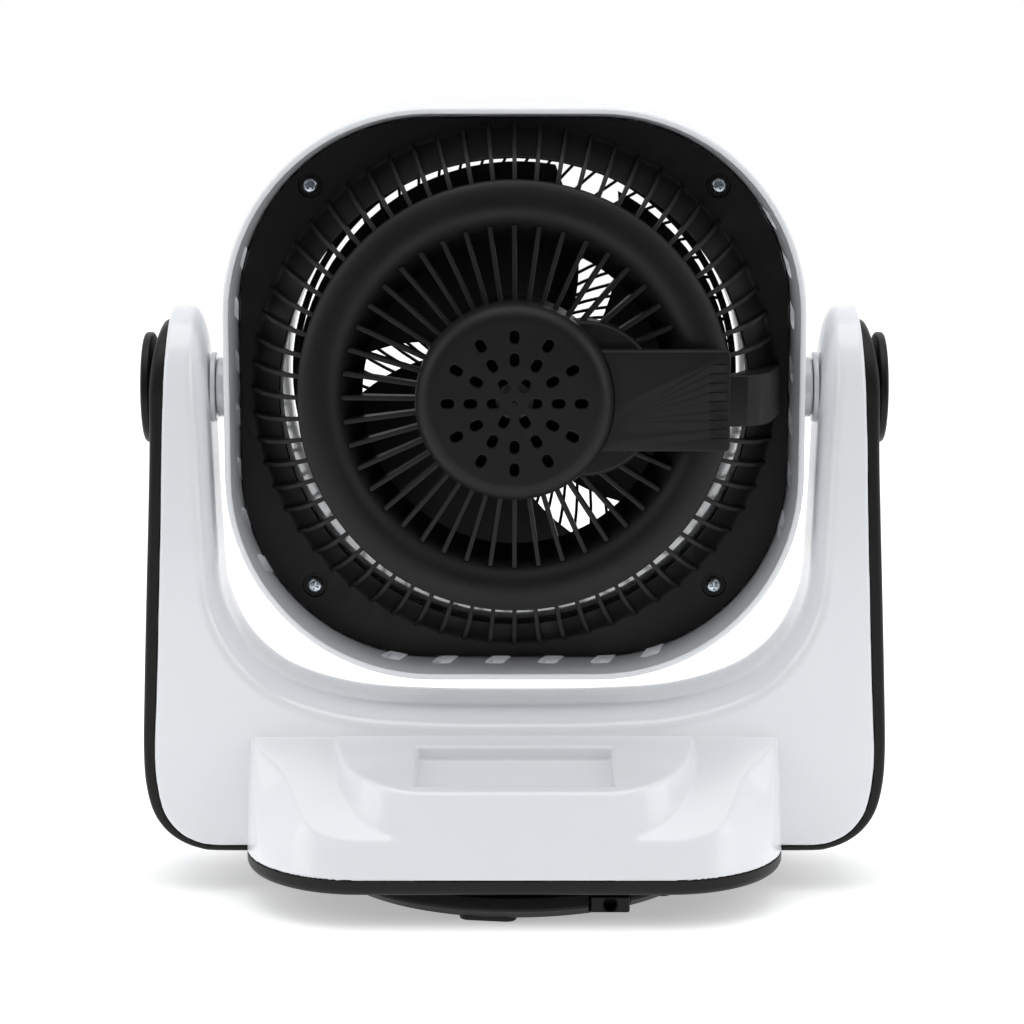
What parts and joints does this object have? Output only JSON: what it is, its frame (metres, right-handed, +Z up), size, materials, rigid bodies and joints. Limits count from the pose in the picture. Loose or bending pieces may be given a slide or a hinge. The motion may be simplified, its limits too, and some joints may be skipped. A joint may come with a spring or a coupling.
{
  "type": "air circulator fan",
  "caption": "Box-type air circulator: a rounded-square fan head tilts in a U-shaped yoke that swivels on a round foot, with push buttons on the front console.",
  "frame": {"origin": "on the swivel axis at floor level, the middle of the bottom of the object", "axes": "+Z up along the swivel axis; -Y towards the front grille and the buttons, +Y towards the rear grille; +X to the right of a viewer in front of the fan"},
  "size_m": [0.3686, 0.212, 0.3901],
  "materials": {
    "white_gloss": "gloss",
    "black_satin": "satin",
    "black_gloss": "gloss",
    "black_rubber": "matt",
    "grey_plastic": "satin",
    "natural_nylon": "satin",
    "circuit_board": "satin",
    "copper_winding": "varnished",
    "steel": "brushed",
    "zinc_screw": "zinc plated"
  },
  "bodies": {
    "foot": {"foot_disc": "black_satin", "foot_weight": "steel", "cord_gland": "black_satin", "slip_ring": "natural_nylon", "rubber_foot_1": "black_rubber", "rubber_foot_2": "black_rubber", "rubber_foot_3": "black_rubber", "rubber_foot_4": "black_rubber", "rubber_foot_5": "black_rubber", "fixed_gear": "natural_nylon", "retaining_washer": "steel", "swivel_bolt": "zinc_screw"},
    "yoke": {"base_tray": "black_satin", "yoke_rear_shell": "white_gloss", "yoke_front_shell": "white_gloss", "arm_trim_left": "black_satin", "arm_trim_right": "black_satin", "pivot_cap_left": "black_satin", "pivot_cap_right": "black_satin", "pivot_collar_left": "white_gloss", "pivot_collar_right": "white_gloss", "control_bezel": "black_gloss", "display_window": "black_gloss", "receiver_window": "black_gloss", "control_board": "circuit_board", "swing_motor": "steel"},
    "pinion": {"swing_pinion": "natural_nylon"},
    "head": {"fan_housing": "white_gloss", "rear_grille": "black_satin", "motor_cover": "black_satin", "cable_cover": "black_satin", "front_grille": "black_satin", "centre_cap": "black_gloss", "stator_core": "steel", "winding_front": "copper_winding", "winding_rear": "copper_winding", "motor_bracket_front": "steel", "motor_bracket_rear": "steel", "bearing_front": "steel", "bearing_rear": "steel", "capacitor": "black_satin", "cover_screw_1": "zinc_screw", "cover_screw_2": "zinc_screw", "cover_screw_3": "zinc_screw", "cover_screw_4": "zinc_screw", "tilt_trunnion_left": "white_gloss", "tilt_trunnion_right": "white_gloss", "tilt_nut_left": "steel", "tilt_nut_right": "steel"},
    "rotor": {"fan_blade": "black_satin", "motor_shaft": "steel", "rotor_core": "steel", "blade_nut": "grey_plastic"},
    "power_button": {"power_button": "black_satin"},
    "speed_button": {"speed_button": "black_satin"},
    "timer_button": {"timer_button": "black_satin"},
    "mode_button": {"mode_button": "black_satin"},
    "swing_button": {"swing_button": "black_satin"}
  },
  "joints": [
    {"name": "yoke_swivel", "type": "hinge", "parent": "foot", "child": "yoke", "pos_m": [0, 0, 0.017], "axis": [0, 0, 1], "range_deg": [-40, 40]},
    {"name": "pinion_spin", "type": "hinge", "parent": "yoke", "child": "pinion", "pos_m": [0, 0.038, 0.023], "axis": [0, 0, 1], "range_deg": [-150, 150]},
    {"name": "head_tilt", "type": "hinge", "parent": "yoke", "child": "head", "pos_m": [0, 0.012, 0.251], "axis": [-1, 0, 0], "range_deg": [-20, 90]},
    {"name": "blade_spin", "type": "hinge", "parent": "head", "child": "rotor", "pos_m": [0, 0.012, 0.251], "axis": [0, 1, 0], "continuous": true},
    {"name": "power_press", "type": "slide", "parent": "yoke", "child": "power_button", "axis": [0, 0.4067, -0.9136], "range_m": [0, 0.001], "stiffness_N_per_m": 600, "springref_m": -0.0005},
    {"name": "speed_press", "type": "slide", "parent": "yoke", "child": "speed_button", "axis": [0, 0.4067, -0.9136], "range_m": [0, 0.001], "stiffness_N_per_m": 600, "springref_m": -0.0005},
    {"name": "timer_press", "type": "slide", "parent": "yoke", "child": "timer_button", "axis": [0, 0.4067, -0.9136], "range_m": [0, 0.001], "stiffness_N_per_m": 600, "springref_m": -0.0005},
    {"name": "mode_press", "type": "slide", "parent": "yoke", "child": "mode_button", "axis": [0, 0.4067, -0.9136], "range_m": [0, 0.001], "stiffness_N_per_m": 600, "springref_m": -0.0005},
    {"name": "swing_press", "type": "slide", "parent": "yoke", "child": "swing_button", "axis": [0, 0.4067, -0.9136], "range_m": [0, 0.001], "stiffness_N_per_m": 600, "springref_m": -0.0005}
  ],
  "couplings": [
    {"joint": "pinion_spin", "follows": "yoke_swivel", "ratio": 3.75}
  ]
}
